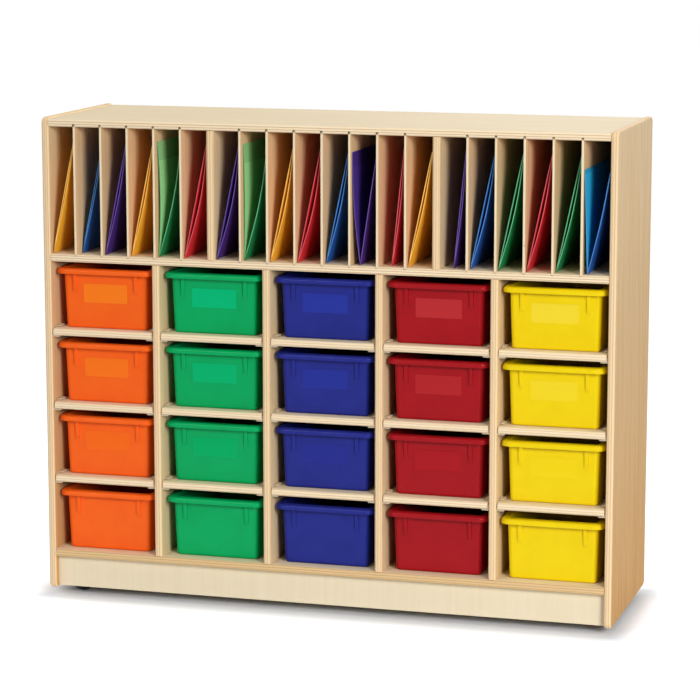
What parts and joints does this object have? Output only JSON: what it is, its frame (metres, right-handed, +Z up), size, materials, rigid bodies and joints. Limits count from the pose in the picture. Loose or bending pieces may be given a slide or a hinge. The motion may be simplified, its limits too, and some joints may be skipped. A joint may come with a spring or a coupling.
{
  "type": "cubby storage unit",
  "caption": "Plywood classroom storage unit on casters, with upright portfolio slots over columns of pull-out plastic trays on shelves.",
  "frame": {"origin": "on the floor, under the middle of the case", "axes": "+X to the right along the case, +Y to the back, +Z up; the open front faces -Y"},
  "size_m": [1.2192, 0.381, 1.023],
  "materials": {
    "birch_plywood": "birch plywood, clear lacquer",
    "thin_plywood": "thin birch plywood, clear lacquer",
    "beech_dowel": "plain beech",
    "clear_plastic": "clear moulded plastic",
    "zinc_steel": "zinc-plated steel",
    "black_rubber": "black rubber tread",
    "orange_plastic": "satin moulded polypropylene",
    "green_plastic": "satin moulded polypropylene",
    "blue_plastic": "satin moulded polypropylene",
    "red_plastic": "satin moulded polypropylene",
    "yellow_plastic": "satin moulded polypropylene"
  },
  "bodies": {
    "case": {"side_panel_left": "birch_plywood", "side_panel_right": "birch_plywood", "top_panel": "birch_plywood", "portfolio_deck": "birch_plywood", "bottom_panel": "birch_plywood", "back_panel": "birch_plywood", "kick_board_front": "birch_plywood", "kick_board_rear": "birch_plywood", "caster_blocks": "birch_plywood", "column_divider_1": "birch_plywood", "column_divider_2": "birch_plywood", "column_divider_3": "birch_plywood", "column_divider_4": "birch_plywood", "bay_divider_left": "birch_plywood", "bay_divider_right": "birch_plywood", "shelves_column_1": "birch_plywood", "shelves_column_2": "birch_plywood", "shelves_column_3": "birch_plywood", "shelves_column_4": "birch_plywood", "shelves_column_5": "birch_plywood", "slot_dividers": "thin_plywood", "shelf_clips": "clear_plastic", "panel_dowels": "beech_dowel", "back_screws": "zinc_steel", "caster_plates": "zinc_steel", "caster_screws": "zinc_steel"},
    "tray_orange_1": {"tray_orange_1": "orange_plastic"},
    "tray_orange_2": {"tray_orange_2": "orange_plastic"},
    "tray_orange_3": {"tray_orange_3": "orange_plastic"},
    "tray_orange_4": {"tray_orange_4": "orange_plastic"},
    "tray_green_1": {"tray_green_1": "green_plastic"},
    "tray_green_2": {"tray_green_2": "green_plastic"},
    "tray_green_3": {"tray_green_3": "green_plastic"},
    "tray_green_4": {"tray_green_4": "green_plastic"},
    "tray_blue_1": {"tray_blue_1": "blue_plastic"},
    "tray_blue_2": {"tray_blue_2": "blue_plastic"},
    "tray_blue_3": {"tray_blue_3": "blue_plastic"},
    "tray_blue_4": {"tray_blue_4": "blue_plastic"},
    "tray_red_1": {"tray_red_1": "red_plastic"},
    "tray_red_2": {"tray_red_2": "red_plastic"},
    "tray_red_3": {"tray_red_3": "red_plastic"},
    "tray_red_4": {"tray_red_4": "red_plastic"},
    "tray_yellow_1": {"tray_yellow_1": "yellow_plastic"},
    "tray_yellow_2": {"tray_yellow_2": "yellow_plastic"},
    "tray_yellow_3": {"tray_yellow_3": "yellow_plastic"},
    "tray_yellow_4": {"tray_yellow_4": "yellow_plastic"},
    "caster_front_left": {"caster_fork_front_left": "zinc_steel", "caster_axle_front_left": "zinc_steel"},
    "wheel_front_left": {"caster_wheel_front_left": "black_rubber"},
    "caster_front_right": {"caster_fork_front_right": "zinc_steel", "caster_axle_front_right": "zinc_steel"},
    "wheel_front_right": {"caster_wheel_front_right": "black_rubber"},
    "caster_rear_left": {"caster_fork_rear_left": "zinc_steel", "caster_axle_rear_left": "zinc_steel"},
    "wheel_rear_left": {"caster_wheel_rear_left": "black_rubber"},
    "caster_rear_right": {"caster_fork_rear_right": "zinc_steel", "caster_axle_rear_right": "zinc_steel"},
    "wheel_rear_right": {"caster_wheel_rear_right": "black_rubber"}
  },
  "joints": [
    {"name": "tray_orange_1_slide", "type": "slide", "parent": "case", "child": "tray_orange_1", "axis": [0, -1, 0], "range_m": [0, 0.36]},
    {"name": "tray_orange_2_slide", "type": "slide", "parent": "case", "child": "tray_orange_2", "axis": [0, -1, 0], "range_m": [0, 0.36]},
    {"name": "tray_orange_3_slide", "type": "slide", "parent": "case", "child": "tray_orange_3", "axis": [0, -1, 0], "range_m": [0, 0.36]},
    {"name": "tray_orange_4_slide", "type": "slide", "parent": "case", "child": "tray_orange_4", "axis": [0, -1, 0], "range_m": [0, 0.36]},
    {"name": "tray_green_1_slide", "type": "slide", "parent": "case", "child": "tray_green_1", "axis": [0, -1, 0], "range_m": [0, 0.36]},
    {"name": "tray_green_2_slide", "type": "slide", "parent": "case", "child": "tray_green_2", "axis": [0, -1, 0], "range_m": [0, 0.36]},
    {"name": "tray_green_3_slide", "type": "slide", "parent": "case", "child": "tray_green_3", "axis": [0, -1, 0], "range_m": [0, 0.36]},
    {"name": "tray_green_4_slide", "type": "slide", "parent": "case", "child": "tray_green_4", "axis": [0, -1, 0], "range_m": [0, 0.36]},
    {"name": "tray_blue_1_slide", "type": "slide", "parent": "case", "child": "tray_blue_1", "axis": [0, -1, 0], "range_m": [0, 0.36]},
    {"name": "tray_blue_2_slide", "type": "slide", "parent": "case", "child": "tray_blue_2", "axis": [0, -1, 0], "range_m": [0, 0.36]},
    {"name": "tray_blue_3_slide", "type": "slide", "parent": "case", "child": "tray_blue_3", "axis": [0, -1, 0], "range_m": [0, 0.36]},
    {"name": "tray_blue_4_slide", "type": "slide", "parent": "case", "child": "tray_blue_4", "axis": [0, -1, 0], "range_m": [0, 0.36]},
    {"name": "tray_red_1_slide", "type": "slide", "parent": "case", "child": "tray_red_1", "axis": [0, -1, 0], "range_m": [0, 0.36]},
    {"name": "tray_red_2_slide", "type": "slide", "parent": "case", "child": "tray_red_2", "axis": [0, -1, 0], "range_m": [0, 0.36]},
    {"name": "tray_red_3_slide", "type": "slide", "parent": "case", "child": "tray_red_3", "axis": [0, -1, 0], "range_m": [0, 0.36]},
    {"name": "tray_red_4_slide", "type": "slide", "parent": "case", "child": "tray_red_4", "axis": [0, -1, 0], "range_m": [0, 0.36]},
    {"name": "tray_yellow_1_slide", "type": "slide", "parent": "case", "child": "tray_yellow_1", "axis": [0, -1, 0], "range_m": [0, 0.36]},
    {"name": "tray_yellow_2_slide", "type": "slide", "parent": "case", "child": "tray_yellow_2", "axis": [0, -1, 0], "range_m": [0, 0.36]},
    {"name": "tray_yellow_3_slide", "type": "slide", "parent": "case", "child": "tray_yellow_3", "axis": [0, -1, 0], "range_m": [0, 0.36]},
    {"name": "tray_yellow_4_slide", "type": "slide", "parent": "case", "child": "tray_yellow_4", "axis": [0, -1, 0], "range_m": [0, 0.36]},
    {"name": "caster_front_left_swivel", "type": "hinge", "parent": "case", "child": "caster_front_left", "pos_m": [-0.5436, -0.1125, 0.069], "axis": [0, 0, 1], "continuous": true},
    {"name": "wheel_front_left_spin", "type": "hinge", "parent": "caster_front_left", "child": "wheel_front_left", "pos_m": [-0.55564, -0.12848, 0.025], "axis": [0.7986, -0.6018, 0], "continuous": true},
    {"name": "caster_front_right_swivel", "type": "hinge", "parent": "case", "child": "caster_front_right", "pos_m": [0.5436, -0.1125, 0.069], "axis": [0, 0, 1], "continuous": true},
    {"name": "wheel_front_right_spin", "type": "hinge", "parent": "caster_front_right", "child": "wheel_front_right", "pos_m": [0.55109, -0.09396, 0.025], "axis": [-0.9272, 0.3746, 0], "continuous": true},
    {"name": "caster_rear_left_swivel", "type": "hinge", "parent": "case", "child": "caster_rear_left", "pos_m": [-0.5436, 0.1225, 0.069], "axis": [0, 0, 1], "continuous": true},
    {"name": "wheel_rear_left_spin", "type": "hinge", "parent": "caster_rear_left", "child": "wheel_rear_left", "pos_m": [-0.54604, 0.14235, 0.025], "axis": [-0.9925, -0.1219, 0], "continuous": true},
    {"name": "caster_rear_right_swivel", "type": "hinge", "parent": "case", "child": "caster_rear_right", "pos_m": [0.5436, 0.1225, 0.069], "axis": [0, 0, 1], "continuous": true},
    {"name": "wheel_rear_right_spin", "type": "hinge", "parent": "caster_rear_right", "child": "wheel_rear_right", "pos_m": [0.54878, 0.14182, 0.025], "axis": [-0.9659, 0.2588, 0], "continuous": true}
  ]
}
